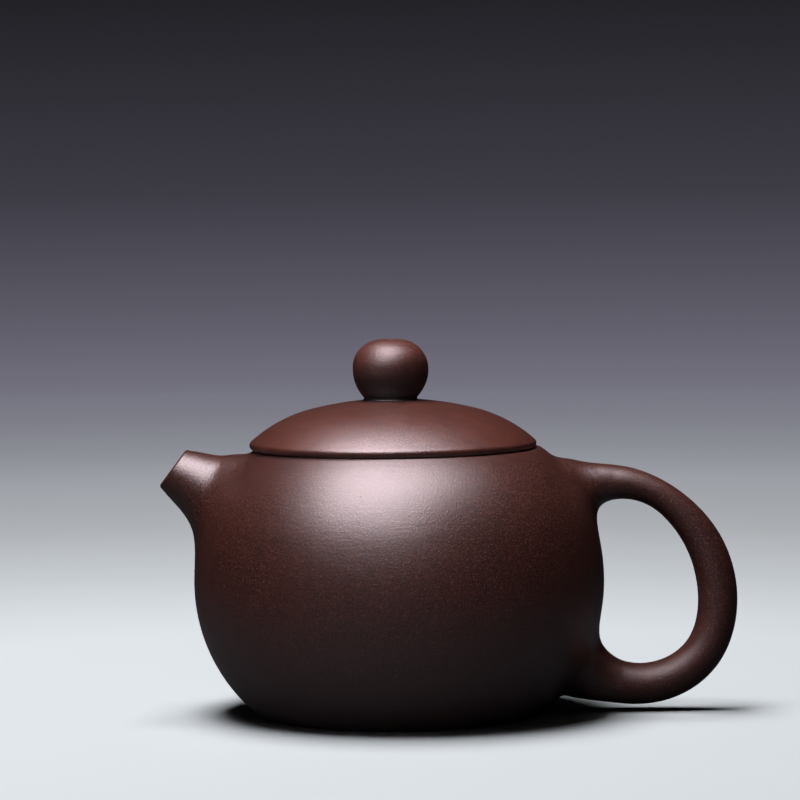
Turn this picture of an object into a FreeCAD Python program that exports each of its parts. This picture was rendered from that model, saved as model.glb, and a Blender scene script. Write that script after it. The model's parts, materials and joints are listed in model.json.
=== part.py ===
import FreeCAD, Part
import math
import os

import Sketcher

# Yixing teapot. Millimetres, +Z up, origin on the pot's axis in the plane that it stands on.
# The spout points along -X and the handle along +X.

SIZES = [
    # Belly: a round wall of three tangent arcs, widest at belly_height.
    ("belly_radius", 45.05),
    ("belly_height", 29.0),
    ("lower_round", 37.5),
    ("upper_round", 46.0),
    ("upper_turn", 15.5),
    ("shoulder_round", 30.8),
    ("mouth_height", 58.2),
    ("wall", 3.0),
    ("foot_edge", 2.5),
    ("rim_edge", 0.5),
    # Base disc: raised off the table inside the foot of the wall.
    ("base_rise", 0.8),
    ("base_thickness", 3.0),
    # Mouth ring: the seat that the lid's flange turns in.
    ("seat_outer_radius", 29.5),
    ("seat_inner_radius", 26.5),
    ("seat_depth", 4.2),
    ("seat_chamfer", 0.8),
    # Spout: outer and bore radii at its root, middle and mouth, with each section's place and tilt.
    ("root_reach", 34.0),
    ("root_height", 46.0),
    ("root_tilt", 25.0),
    ("root_radius", 12.0),
    ("root_bore", 6.6),
    ("middle_reach", 43.3),
    ("middle_height", 51.0),
    ("middle_tilt", 32.0),
    ("middle_radius", 7.3),
    ("middle_bore", 5.0),
    ("tip_reach", 49.55),
    ("tip_height", 54.4),
    ("tip_tilt", 37.0),
    ("tip_radius", 4.75),
    ("tip_bore", 3.5),
    ("tip_edge", 0.6),
    # Ball strainer: a pierced dome inside the belly, over the bore.
    ("dome_reach", 37.6),
    ("dome_height", 47.4),
    ("dome_radius", 9.2),
    ("dome_thickness", 1.3),
    ("dome_hole_radius", 0.8),
    # Handle: one round section along an ear of tangent arcs.
    ("grip_radius", 4.25),
    ("grip_start", 34.0),
    ("grip_top", 50.1),
    ("grip_widest", 70.0),
    ("grip_widest_height", 24.5),
    ("grip_bottom", 6.0),
    ("grip_end", 30.0),
    ("grip_top_round", 16.0),
    ("grip_back_round", 27.0),
    ("grip_heel_round", 24.0),
    ("grip_bottom_round", 14.0),
    # Lid plate: a dome of two arcs with a rounded edge, hollow inside its flange.
    ("lid_radius", 31.5),
    ("lid_edge", 1.05),
    ("lid_round", 31.0),
    ("crown_round", 75.0),
    ("crown_radius", 18.0),
    ("hollow_top", 66.0),
    ("hollow_round", 66.0),
    # Lid flange.
    ("flange_outer_radius", 26.2),
    ("flange_inner_radius", 23.4),
    ("flange_depth", 8.5),
    ("flange_chamfer", 0.8),
    # Knob: a flattened ball on a short neck, with the vent down its middle.
    ("knob_flat_radius", 2.0),
    ("knob_round", 6.2),
    ("knob_waist", 0.6),
    ("knob_lower_round", 8.6),
    ("knob_top", 82.2),
    ("neck_round", 0.5),
    ("neck_height", 69.35),
    ("knob_root", 66.0),
    ("vent_radius", 1.0),
]

ALIASES = {alias for alias, value in SIZES}

# The strainer's rings of holes: degrees from the dome's middle, and how many holes.
STRAINER_RINGS = [(0.0, 1), (24.0, 6), (46.0, 11), (66.0, 15)]

# The bore runs on past the spout's mouth by this much, so that it cuts the mouth open.
BORE_PAST_TIP = 1.0

doc = FreeCAD.newDocument("yixing_teapot")
sheet = doc.addObject("Spreadsheet::Sheet", "Sizes")
for row, (alias, value) in enumerate(SIZES, start=1):
    sheet.set(f"A{row}", alias)
    sheet.set(f"B{row}", str(value))
    sheet.setAlias(f"B{row}", alias)
doc.recompute()


def size(alias):
    return float(sheet.get(alias))


def sheet_terms(expression):
    """Turn the aliases of an expression into references to the sheet."""
    words = []
    for word in expression.replace("(", "( ").replace(")", " )").split():
        words.append(f"Sizes.{word}" if word in ALIASES else word)
    return " ".join(words)


def bind(thing, **expressions):
    """Bind properties of an object to expressions written with the sheet's aliases."""
    for path, expression in expressions.items():
        thing.setExpression(path.replace("__", "."), sheet_terms(expression))


# Sketch helpers ---------------------------------------------------------------------------

START, END, CENTRE = 1, 2, 3
ORIGIN = (-1, 1)
VERTICAL_AXIS = -2


def new_sketch(body, name, role="XZ_Plane"):
    sketch = body.newObject("Sketcher::SketchObject", name)
    for plane in body.Origin.OriginFeatures:
        if plane.Role == role:
            sketch.AttachmentSupport = [(plane, "")]
    sketch.MapMode = "FlatFace"
    return sketch


def point(across, up):
    return FreeCAD.Vector(across, up, 0)


def add_line(sketch, start, end):
    return sketch.addGeometry(Part.LineSegment(point(*start), point(*end)))


def add_arc(sketch, centre, radius, first_degrees, last_degrees):
    circle = Part.Circle(point(*centre), FreeCAD.Vector(0, 0, 1), radius)
    return sketch.addGeometry(
        Part.ArcOfCircle(circle, math.radians(first_degrees), math.radians(last_degrees))
    )


def constrain(sketch, kind, *references):
    return sketch.addConstraint(Sketcher.Constraint(kind, *references))


def dimension(sketch, kind, references, value, expression):
    index = constrain(sketch, kind, *references, value)
    sketch.setExpression(f"Constraints[{index}]", sheet_terms(expression))


def on_circle(centre, radius, degrees):
    angle = math.radians(degrees)
    return (centre[0] + radius * math.cos(angle), centre[1] + radius * math.sin(angle))


def revolve(body, sketch, name):
    feature = body.newObject("PartDesign::Revolution", name)
    feature.Profile = sketch
    feature.ReferenceAxis = (sketch, ["V_Axis"])
    feature.Angle = 360
    return feature


def new_body(name):
    return doc.addObject("PartDesign::Body", name)


def round_edge(shape, radius, height, tolerance=0.1):
    """Name the closed round edge with that mean radius whose middle is at that height."""
    for number, edge in enumerate(shape.Edges, start=1):
        if not edge.Closed or edge.Length < radius:
            continue
        mean_radius = edge.Length / (2 * math.pi)
        middle = edge.BoundBox.Center.z
        if abs(mean_radius - radius) < tolerance and abs(middle - height) < tolerance:
            return f"Edge{number}"
    raise RuntimeError(f"no round edge of radius {radius} at height {height}")


# Boolean helpers --------------------------------------------------------------------------


def cut(name, base, tool):
    feature = doc.addObject("Part::Cut", name)
    feature.Base = base
    feature.Tool = tool
    return feature


def common(name, base, tool):
    feature = doc.addObject("Part::Common", name)
    feature.Base = base
    feature.Tool = tool
    return feature


def upright_cylinder(name, radius, height, foot):
    feature = doc.addObject("Part::Cylinder", name)
    bind(feature, Radius=radius, Height=height, Placement__Base__z=foot)
    return feature


# Belly ------------------------------------------------------------------------------------


def belly_form(name, inset, foot_edge=None, rim_edge=None):
    """The belly's solid of revolution, its arcs set in from the outside by inset."""
    depth = size(inset) if inset in ALIASES else 0.0
    middle = (size("belly_radius") - size("lower_round"), size("belly_height"))
    upper = (size("belly_radius") - size("upper_round"), size("belly_height"))
    turn = size("upper_turn")
    shoulder = on_circle(upper, size("upper_round") - size("shoulder_round"), turn)
    lower_radius = size("lower_round") - depth
    upper_radius = size("upper_round") - depth
    shoulder_radius = size("shoulder_round") - depth
    mouth_height = size("mouth_height")
    foot_turn = math.degrees(math.asin(size("belly_height") / lower_radius))
    mouth_turn = math.degrees(math.asin((mouth_height - shoulder[1]) / shoulder_radius))
    foot_point = on_circle(middle, lower_radius, -foot_turn)
    mouth_point = on_circle(shoulder, shoulder_radius, mouth_turn)

    body = new_body(name)
    sketch = new_sketch(body, f"{name}_outline")
    under = add_line(sketch, (0, 0), foot_point)
    low = add_arc(sketch, middle, lower_radius, -foot_turn, 0)
    high = add_arc(sketch, upper, upper_radius, 0, turn)
    top = add_arc(sketch, shoulder, shoulder_radius, turn, mouth_turn)
    lid_side = add_line(sketch, mouth_point, (0, mouth_height))
    axis = add_line(sketch, (0, mouth_height), (0, 0))
    constrain(sketch, "Coincident", under, START, *ORIGIN)
    constrain(sketch, "Horizontal", under)
    constrain(sketch, "Coincident", under, END, low, START)
    constrain(sketch, "Tangent", low, END, high, START)
    constrain(sketch, "Tangent", high, END, top, START)
    constrain(sketch, "Coincident", top, END, lid_side, START)
    constrain(sketch, "Horizontal", lid_side)
    constrain(sketch, "Coincident", lid_side, END, axis, START)
    constrain(sketch, "Coincident", axis, END, under, START)
    constrain(sketch, "Vertical", axis)
    constrain(sketch, "Horizontal", low, CENTRE, low, END)
    dimension(sketch, "Radius", (low,), lower_radius, f"lower_round - {inset}")
    dimension(sketch, "Radius", (high,), upper_radius, f"upper_round - {inset}")
    dimension(sketch, "Radius", (top,), shoulder_radius, f"shoulder_round - {inset}")
    dimension(sketch, "DistanceY", (*ORIGIN, low, CENTRE), size("belly_height"), "belly_height")
    dimension(
        sketch, "DistanceX", (*ORIGIN, low, END), size("belly_radius") - depth, f"belly_radius - {inset}"
    )
    dimension(
        sketch, "DistanceY", (high, CENTRE, high, END), upper_radius * math.sin(math.radians(turn)),
        f"( upper_round - {inset} ) * sin( upper_turn * 1deg )",
    )
    dimension(sketch, "DistanceY", (*ORIGIN, lid_side, START), mouth_height, "mouth_height")
    revolve(body, sketch, f"{name}_turned")
    doc.recompute()
    edges = [(foot_edge, foot_point), (rim_edge, mouth_point)]
    for alias, (radius, height) in edges:
        if alias is None:
            continue
        plain = body.Tip
        rounded = body.newObject("PartDesign::Fillet", f"{name}_{alias}")
        rounded.Base = (plain, [round_edge(plain.Shape, radius, height)])
        bind(rounded, Radius=alias)
        doc.recompute()
    return body


def ring(name, outer, inner, top, depth, chamfer, chamfered_radius):
    """A level clay ring that hangs down from the height top, chamfered at its lower edge."""
    body = new_body(name)
    sketch = new_sketch(body, f"{name}_section", "XY_Plane")
    bind(sketch, AttachmentOffset__Base__z=f"{top} - {depth}")
    for alias in (outer, inner):
        circle = sketch.addGeometry(
            Part.Circle(point(0, 0), FreeCAD.Vector(0, 0, 1), size(alias))
        )
        constrain(sketch, "Coincident", circle, CENTRE, *ORIGIN)
        dimension(sketch, "Radius", (circle,), size(alias), alias)
    pad = body.newObject("PartDesign::Pad", f"{name}_pad")
    pad.Profile = sketch
    bind(pad, Length=depth)
    doc.recompute()
    edge = round_edge(body.Shape, size(chamfered_radius), size(top) - size(depth))
    eased = body.newObject("PartDesign::Chamfer", f"{name}_lead")
    eased.Base = (pad, [edge])
    bind(eased, Size=chamfer)
    body.Tip = eased
    return body


# Spout ------------------------------------------------------------------------------------


def spout_section(body, name, station, radius, ahead=0.0):
    """A circle across the spout's path at a station, moved ahead along the path's direction."""
    sketch = new_sketch(body, name, "YZ_Plane")
    tilt = size(f"{station}_tilt")
    sketch.AttachmentOffset = FreeCAD.Placement(
        FreeCAD.Vector(0, size(f"{station}_height"), -size(f"{station}_reach")),
        FreeCAD.Rotation(FreeCAD.Vector(1, 0, 0), tilt),
    )
    bind(
        sketch,
        AttachmentOffset__Base__y=f"{station}_height + {ahead} * sin( {station}_tilt * 1deg )",
        AttachmentOffset__Base__z=f"0 - {station}_reach - {ahead} * cos( {station}_tilt * 1deg )",
        AttachmentOffset__Rotation__Angle=f"{station}_tilt * 1deg",
    )
    circle = sketch.addGeometry(Part.Circle(point(0, 0), FreeCAD.Vector(0, 0, 1), size(radius)))
    constrain(sketch, "Coincident", circle, CENTRE, *ORIGIN)
    dimension(sketch, "Radius", (circle,), size(radius), radius)
    return sketch


def spout_loft(name, kind, past_tip):
    """The spout's outside or its bore: one smooth loft through the three stations."""
    body = new_body(name)
    sections = []
    for station in ("root", "middle", "tip"):
        ahead = past_tip if station == "tip" else 0.0
        sections.append(
            spout_section(body, f"{name}_{station}", station, f"{station}_{kind}", ahead)
        )
    loft = body.newObject("PartDesign::AdditiveLoft", f"{name}_loft")
    loft.Profile = sections[0]
    loft.Sections = sections[1:]
    return body


def round_tip(body):
    """Soften the outer edge of the spout's mouth."""
    doc.recompute()
    plain = body.Tip
    rounded = body.newObject("PartDesign::Fillet", "spout_tip_edge")
    rounded.Base = (plain, [round_edge(plain.Shape, size("tip_radius"), size("tip_height"))])
    bind(rounded, Radius="tip_edge")


# Ball strainer ----------------------------------------------------------------------------


def strainer_drills():
    """Straight drills that spread from the dome's centre in rings, clear of each other."""
    drills = []
    centre = FreeCAD.Vector(-size("dome_reach"), 0, size("dome_height"))
    tilt = math.radians(size("root_tilt"))
    inward = FreeCAD.Vector(math.cos(tilt), 0, -math.sin(tilt))
    aim = FreeCAD.Rotation(FreeCAD.Vector(0, 0, 1), inward)
    start = size("dome_radius") - 2 * size("dome_thickness")
    for ring_number, (polar, count) in enumerate(STRAINER_RINGS):
        for index in range(count):
            around = 360.0 * (index + 0.5 * (ring_number % 2)) / count
            turn = FreeCAD.Rotation(FreeCAD.Vector(0, 0, 1), around)
            lean = FreeCAD.Rotation(FreeCAD.Vector(0, 1, 0), polar)
            direction = aim.multiply(turn).multiply(lean)
            drill = doc.addObject("Part::Cylinder", f"drill_{ring_number}_{index}")
            bind(drill, Radius="dome_hole_radius", Height="4 * dome_thickness")
            offset = direction.multVec(FreeCAD.Vector(0, 0, start))
            drill.Placement = FreeCAD.Placement(centre + offset, direction)
            drills.append(drill)
    group = doc.addObject("Part::Compound", "strainer_drills")
    group.Links = drills
    return group


def dome_ball(name, radius):
    ball = doc.addObject("Part::Sphere", name)
    bind(ball, Radius=radius, Placement__Base__x="0 - dome_reach", Placement__Base__z="dome_height")
    return ball


# Handle -----------------------------------------------------------------------------------


def handle_form():
    """The handle's ear: two straight roots joined by four tangent arcs, one round section."""
    start, end = size("grip_start"), size("grip_end")
    top, bottom = size("grip_top"), size("grip_bottom")
    widest, middle = size("grip_widest"), size("grip_widest_height")
    top_round, back_round = size("grip_top_round"), size("grip_back_round")
    heel_round, bottom_round = size("grip_heel_round"), size("grip_bottom_round")
    back = (widest - back_round, middle)
    heel = (widest - heel_round, middle)
    over_turn = math.degrees(math.asin((top - middle - top_round) / (back_round - top_round)))
    under_turn = math.degrees(math.asin((middle - bottom - bottom_round) / (heel_round - bottom_round)))
    over = on_circle(back, back_round - top_round, over_turn)
    under = on_circle(heel, heel_round - bottom_round, -under_turn)

    body = new_body("handle_form")
    path = new_sketch(body, "handle_path")
    upper_root = add_line(path, (start, top), (over[0], top))
    over_arc = add_arc(path, over, top_round, over_turn, 90)
    back_arc = add_arc(path, back, back_round, 0, over_turn)
    heel_arc = add_arc(path, heel, heel_round, -under_turn, 0)
    under_arc = add_arc(path, under, bottom_round, -90, -under_turn)
    lower_root = add_line(path, (under[0], bottom), (end, bottom))
    constrain(path, "Tangent", upper_root, END, over_arc, END)
    constrain(path, "Tangent", over_arc, START, back_arc, END)
    constrain(path, "Tangent", back_arc, START, heel_arc, END)
    constrain(path, "Tangent", heel_arc, START, under_arc, END)
    constrain(path, "Tangent", under_arc, START, lower_root, START)
    constrain(path, "Horizontal", upper_root)
    constrain(path, "Horizontal", lower_root)
    constrain(path, "Horizontal", back_arc, CENTRE, back_arc, START)
    dimension(path, "Radius", (over_arc,), top_round, "grip_top_round")
    dimension(path, "Radius", (back_arc,), back_round, "grip_back_round")
    dimension(path, "Radius", (heel_arc,), heel_round, "grip_heel_round")
    dimension(path, "Radius", (under_arc,), bottom_round, "grip_bottom_round")
    dimension(path, "DistanceX", (*ORIGIN, upper_root, START), start, "grip_start")
    dimension(path, "DistanceY", (*ORIGIN, upper_root, START), top, "grip_top")
    dimension(path, "DistanceX", (*ORIGIN, back_arc, START), widest, "grip_widest")
    dimension(path, "DistanceY", (*ORIGIN, back_arc, START), middle, "grip_widest_height")
    dimension(path, "DistanceX", (*ORIGIN, lower_root, END), end, "grip_end")
    dimension(path, "DistanceY", (*ORIGIN, lower_root, END), bottom, "grip_bottom")

    section = new_sketch(body, "handle_section", "YZ_Plane")
    bind(section, AttachmentOffset__Base__y="grip_top", AttachmentOffset__Base__z="grip_start")
    circle = section.addGeometry(
        Part.Circle(point(0, 0), FreeCAD.Vector(0, 0, 1), size("grip_radius"))
    )
    constrain(section, "Coincident", circle, CENTRE, *ORIGIN)
    dimension(section, "Radius", (circle,), size("grip_radius"), "grip_radius")
    pipe = body.newObject("PartDesign::AdditivePipe", "handle_pipe")
    pipe.Profile = section
    pipe.Spine = path
    return body


# Lid --------------------------------------------------------------------------------------


def lid_form():
    """The lid plate's dome: crown arc, outer arc and rounded edge on a flat underside."""
    seat, radius, edge = size("mouth_height"), size("lid_radius"), size("lid_edge")
    outer, crown, joint = size("lid_round"), size("crown_round"), size("crown_radius")
    crown_turn = math.degrees(math.acos(joint / crown))
    outer_across = joint - outer * math.cos(math.radians(crown_turn))
    reach = (radius - edge - outer_across) / (outer - edge)
    edge_turn = math.degrees(math.acos(reach))
    edge_centre = (radius - edge, seat + edge)
    outer_up = edge_centre[1] - (outer - edge) * math.sin(math.radians(edge_turn))
    joint_up = outer_up + outer * math.sin(math.radians(crown_turn))
    crown_up = joint_up - crown * math.sin(math.radians(crown_turn))

    body = new_body("lid_form")
    sketch = new_sketch(body, "lid_outline")
    under = add_line(sketch, (0, seat), (radius - edge, seat))
    edge_arc = add_arc(sketch, edge_centre, edge, -90, edge_turn)
    outer_arc = add_arc(sketch, (outer_across, outer_up), outer, edge_turn, crown_turn)
    crown_arc = add_arc(sketch, (0, crown_up), crown, crown_turn, 90)
    axis = add_line(sketch, (0, crown_up + crown), (0, seat))
    constrain(sketch, "PointOnObject", under, START, VERTICAL_AXIS)
    constrain(sketch, "Horizontal", under)
    constrain(sketch, "Tangent", under, END, edge_arc, START)
    constrain(sketch, "Tangent", edge_arc, END, outer_arc, START)
    constrain(sketch, "Tangent", outer_arc, END, crown_arc, START)
    constrain(sketch, "PointOnObject", crown_arc, CENTRE, VERTICAL_AXIS)
    constrain(sketch, "Coincident", crown_arc, END, axis, START)
    constrain(sketch, "Coincident", axis, END, under, START)
    constrain(sketch, "Vertical", axis)
    dimension(sketch, "Radius", (edge_arc,), edge, "lid_edge")
    dimension(sketch, "Radius", (outer_arc,), outer, "lid_round")
    dimension(sketch, "Radius", (crown_arc,), crown, "crown_round")
    dimension(sketch, "DistanceY", (*ORIGIN, under, START), seat, "mouth_height")
    dimension(sketch, "DistanceX", (*ORIGIN, under, END), radius - edge, "lid_radius - lid_edge")
    dimension(sketch, "DistanceX", (*ORIGIN, outer_arc, END), joint, "crown_radius")
    revolve(body, sketch, "lid_turned")
    return body


def knob_form():
    """The knob's flattened ball and its neck, down into the lid that it is trimmed against."""
    flat, ball, waist = size("knob_flat_radius"), size("knob_round"), size("knob_waist")
    top, root, lower_ball = size("knob_top"), size("knob_root"), size("knob_lower_round")
    neck, neck_up = size("neck_round"), size("neck_height")
    upper = (flat, top - ball)
    lower = (flat + ball - lower_ball, top - ball - waist)
    drop = (lower[1] - neck_up) / (lower_ball + neck)
    ball_turn = -math.degrees(math.asin(drop))
    neck_centre = on_circle(lower, lower_ball + neck, ball_turn)

    body = new_body("knob_form")
    sketch = new_sketch(body, "knob_outline")
    crown = add_line(sketch, (0, top), (flat, top))
    upper_arc = add_arc(sketch, upper, ball, 0, 90)
    side = add_line(sketch, (flat + ball, upper[1]), (flat + ball, lower[1]))
    lower_arc = add_arc(sketch, lower, lower_ball, ball_turn, 0)
    neck_arc = add_arc(sketch, neck_centre, neck, 180 + ball_turn, 270)
    stem = add_line(sketch, (neck_centre[0], neck_up - neck), (neck_centre[0], root))
    foot = add_line(sketch, (neck_centre[0], root), (0, root))
    axis = add_line(sketch, (0, root), (0, top))
    constrain(sketch, "Tangent", crown, END, upper_arc, END)
    constrain(sketch, "Tangent", upper_arc, START, side, START)
    constrain(sketch, "Vertical", side)
    constrain(sketch, "Tangent", side, END, lower_arc, END)
    constrain(sketch, "Tangent", lower_arc, START, neck_arc, START)
    constrain(sketch, "Coincident", neck_arc, END, stem, START)
    constrain(sketch, "Vertical", neck_arc, CENTRE, neck_arc, END)
    constrain(sketch, "Vertical", stem)
    constrain(sketch, "Coincident", stem, END, foot, START)
    constrain(sketch, "Horizontal", foot)
    constrain(sketch, "Coincident", foot, END, axis, START)
    constrain(sketch, "Coincident", axis, END, crown, START)
    constrain(sketch, "Vertical", axis)
    constrain(sketch, "Horizontal", crown)
    constrain(sketch, "PointOnObject", crown, START, VERTICAL_AXIS)
    dimension(sketch, "DistanceY", (*ORIGIN, crown, START), top, "knob_top")
    dimension(sketch, "DistanceX", (*ORIGIN, crown, END), flat, "knob_flat_radius")
    dimension(sketch, "Radius", (upper_arc,), ball, "knob_round")
    dimension(sketch, "Radius", (lower_arc,), lower_ball, "knob_lower_round")
    dimension(sketch, "DistanceY", (side, END, side, START), waist, "knob_waist")
    dimension(sketch, "Radius", (neck_arc,), neck, "neck_round")
    dimension(sketch, "DistanceY", (*ORIGIN, neck_arc, CENTRE), neck_up, "neck_height")
    dimension(sketch, "DistanceY", (*ORIGIN, foot, START), root, "knob_root")
    revolve(body, sketch, "knob_turned")
    return body


# The pot's pieces -------------------------------------------------------------------------

outside = belly_form("belly_outside", "0", "foot_edge", "rim_edge")
inside = belly_form("belly_inside", "wall")
spout_outside = spout_loft("spout_outside", "radius", 0.0)
round_tip(spout_outside)
bore = spout_loft("spout_bore", "bore", BORE_PAST_TIP)
mouth_hole = upright_cylinder(
    "mouth_hole", "seat_outer_radius", "2 * seat_depth", "mouth_height - seat_depth"
)
base_slab = upright_cylinder("base_slab", "belly_radius", "base_thickness", "base_rise")
vent = upright_cylinder("vent", "vent_radius", "knob_top", "base_thickness")

belly_shell = cut("belly_shell", outside, inside)
belly_open = cut("belly_open", belly_shell, mouth_hole)
belly_wall = cut("belly_wall", belly_open, bore)
base_disc = common("base_disc", inside, base_slab)
mouth_ring = ring(
    "mouth_ring", "seat_outer_radius", "seat_inner_radius", "mouth_height", "seat_depth",
    "seat_chamfer", "seat_inner_radius",
)

spout_root = cut("spout_root", spout_outside, outside)
spout = cut("spout", spout_root, bore)

dome_outer = dome_ball("dome_outer", "dome_radius")
dome_inner = dome_ball("dome_inner", "dome_radius - dome_thickness")
dome = cut("dome", dome_outer, dome_inner)
dome_in_pot = common("dome_in_pot", dome, inside)
ball_strainer = cut("ball_strainer", dome_in_pot, strainer_drills())

handle = cut("handle", handle_form(), outside)

# The lid's pieces -------------------------------------------------------------------------

lid_dome = lid_form()
hollow_ball = doc.addObject("Part::Sphere", "hollow_ball")
bind(hollow_ball, Radius="hollow_round", Placement__Base__z="hollow_top - hollow_round")
hollow_bore = upright_cylinder("hollow_bore", "flange_inner_radius", "flange_depth", "mouth_height")
lid_hollow = common("lid_hollow", hollow_bore, hollow_ball)
lid_shell = cut("lid_shell", lid_dome, lid_hollow)
lid_plate = cut("lid_plate", lid_shell, vent)
lid_flange = ring(
    "lid_flange", "flange_outer_radius", "flange_inner_radius", "mouth_height", "flange_depth",
    "flange_chamfer", "flange_outer_radius",
)
knob_on_lid = cut("knob_on_lid", knob_form(), lid_dome)
knob = cut("knob", knob_on_lid, vent)

NODES = [
    belly_wall, base_disc, mouth_ring, spout, ball_strainer, handle, lid_plate, lid_flange, knob,
]


def check_document():
    """Stop unless every feature computed and every piece is one valid solid."""
    failed = [thing.Name for thing in doc.Objects if {"Invalid", "Error"} & set(thing.State)]
    if failed:
        raise RuntimeError(f"these objects did not compute: {failed}")
    for node in NODES:
        shape = node.Shape
        if shape.isNull() or not shape.isValid() or len(shape.Solids) != 1:
            raise RuntimeError(f"{node.Name} is not one valid solid ({len(shape.Solids)})")


doc.recompute()
check_document()
os.makedirs("parts", exist_ok=True)
for node in NODES:
    node.Shape.exportStep(f"parts/{node.Label}.step")
    print(f"{node.Label}: {node.Shape.Volume / 1000:.2f} ml of clay")
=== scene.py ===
import json
import math

import bmesh
import bpy
import numpy as np
from mathutils import Matrix, Vector
from mathutils.geometry import delaunay_2d_cdt

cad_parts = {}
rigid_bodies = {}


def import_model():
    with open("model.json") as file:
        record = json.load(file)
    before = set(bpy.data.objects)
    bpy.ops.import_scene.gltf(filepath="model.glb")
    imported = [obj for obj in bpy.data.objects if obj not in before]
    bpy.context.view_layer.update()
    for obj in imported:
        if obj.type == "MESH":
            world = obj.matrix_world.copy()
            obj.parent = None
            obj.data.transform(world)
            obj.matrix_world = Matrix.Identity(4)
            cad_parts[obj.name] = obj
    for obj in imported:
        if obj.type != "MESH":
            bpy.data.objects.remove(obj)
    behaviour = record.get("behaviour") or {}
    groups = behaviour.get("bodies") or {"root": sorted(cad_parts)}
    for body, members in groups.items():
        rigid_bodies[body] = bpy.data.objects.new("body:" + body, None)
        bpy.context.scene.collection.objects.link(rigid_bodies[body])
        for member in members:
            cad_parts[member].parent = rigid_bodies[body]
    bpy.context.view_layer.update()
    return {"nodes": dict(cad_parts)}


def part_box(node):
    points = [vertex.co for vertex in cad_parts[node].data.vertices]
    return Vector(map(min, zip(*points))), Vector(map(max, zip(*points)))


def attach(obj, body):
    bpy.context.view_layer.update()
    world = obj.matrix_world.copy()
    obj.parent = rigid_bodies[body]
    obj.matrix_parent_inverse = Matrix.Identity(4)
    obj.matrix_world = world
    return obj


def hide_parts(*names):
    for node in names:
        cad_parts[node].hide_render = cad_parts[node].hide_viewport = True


# Yixing teapot: looks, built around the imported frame. Shapes are worked out in millimetres, with +Z
# up, the spout along -X and the handle along +X, and turned into metres when a mesh is made.

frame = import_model()

MM = 0.001


def high(node):
    return np.array(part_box(node)[1]) / MM


def low(node):
    return np.array(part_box(node)[0]) / MM


# Sizes that the frame gives.
BELLY_RADIUS = high("belly_wall")[1]
MOUTH_HEIGHT = high("mouth_ring")[2]
SEAT_OUTER = high("mouth_ring")[0]
SEAT_FOOT = low("mouth_ring")[2]
BASE_RISE = low("base_disc")[2]
BASE_TOP = high("base_disc")[2]
LID_RADIUS = high("lid_plate")[0]
FLANGE_OUTER = high("lid_flange")[0]
FLANGE_FOOT = low("lid_flange")[2]
KNOB_RADIUS = high("knob")[0]
KNOB_TOP = high("knob")[2]

# Radii, angles and heights that the box of a node doesn't give.
WALL = 3.0
BELLY_HEIGHT = 29.0
LOWER_ROUND = 37.5
UPPER_ROUND = 46.0
UPPER_TURN = math.radians(15.5)
SHOULDER_ROUND = 30.8
RIM_EDGE = 0.5
FOOT_EDGE = 2.5
SEAT_INNER = 26.5
FLANGE_INNER = 23.4
VENT_RADIUS = 1.0

# Handle path and section: (across, up, half thickness) along its middle line.
HANDLE_STATIONS = [
    (34.9, 49.5, 4.6), (43.5, 50.4, 4.0), (50.4, 50.1, 3.5), (56.4, 48.0, 3.2),
    (62.2, 43.5, 3.5), (67.0, 36.9, 4.0), (69.7, 28.7, 4.3), (69.7, 20.2, 4.3),
    (66.8, 12.8, 4.3), (60.8, 7.7, 4.4), (53.4, 5.8, 4.5), (45.8, 6.8, 5.0),
    (38.0, 9.3, 6.2), (32.4, 10.4, 5.5),
]
HANDLE_BREADTH = 1.08
HANDLE_BLEND = 10.6
HANDLE_SAMPLES = 100

# Spout: middle line and radius, from inside the belly to past the mouth that cuts it off.
SPOUT_STATIONS = [
    (-27.4, 43.2, 12.7), (-33.7, 46.0, 10.7), (-38.9, 48.1, 8.4), (-45.3, 51.7, 6.3),
    (-49.5, 54.2, 4.6), (-52.2, 57.0, 3.7),
]
SPOUT_BLEND = 9.7
SPOUT_SAMPLES = 24
SPOUT_MOUTH = np.array([-49.55, 0.0, 54.4])
SPOUT_MOUTH_TILT = math.radians(37.0)
SPOUT_LIP = 0.8

# Bore of the spout: (across, up, tilt in degrees, radius) at the mouth, midway and at the root.
BORE_STATIONS = [(-49.55, 54.4, 37.0, 3.5), (-43.3, 51.0, 32.0, 5.0), (-34.0, 46.0, 25.0, 6.6)]


# Fields: negative inside the clay ------------------------------------------------------------

LOWER_CENTRE = (BELLY_RADIUS - LOWER_ROUND, BELLY_HEIGHT)
UPPER_CENTRE = (BELLY_RADIUS - UPPER_ROUND, BELLY_HEIGHT)
SHOULDER_CENTRE = (
    UPPER_CENTRE[0] + (UPPER_ROUND - SHOULDER_ROUND) * math.cos(UPPER_TURN),
    UPPER_CENTRE[1] + (UPPER_ROUND - SHOULDER_ROUND) * math.sin(UPPER_TURN),
)


def wall_arc(lift):
    """Centre and radius of the belly's arc where its outward normal has that lift."""
    if lift < 0:
        return LOWER_CENTRE, LOWER_ROUND
    if lift < UPPER_TURN:
        return UPPER_CENTRE, UPPER_ROUND
    return SHOULDER_CENTRE, SHOULDER_ROUND


def wall_point(lift, inset=0.0):
    centre, radius = wall_arc(lift)
    return (centre[0] + (radius - inset) * math.cos(lift), centre[1] + (radius - inset) * math.sin(lift))


def wall_lift(points):
    """The lift of the belly's outward normal nearest to each point."""
    across, up = np.hypot(points[:, 0], points[:, 1]), points[:, 2]
    lower = np.arctan2(up - LOWER_CENTRE[1], across - LOWER_CENTRE[0])
    upper = np.arctan2(up - UPPER_CENTRE[1], across - UPPER_CENTRE[0])
    shoulder = np.arctan2(up - SHOULDER_CENTRE[1], across - SHOULDER_CENTRE[0])
    return np.where(up < BELLY_HEIGHT, lower, np.where(upper < UPPER_TURN, upper, shoulder))


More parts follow.
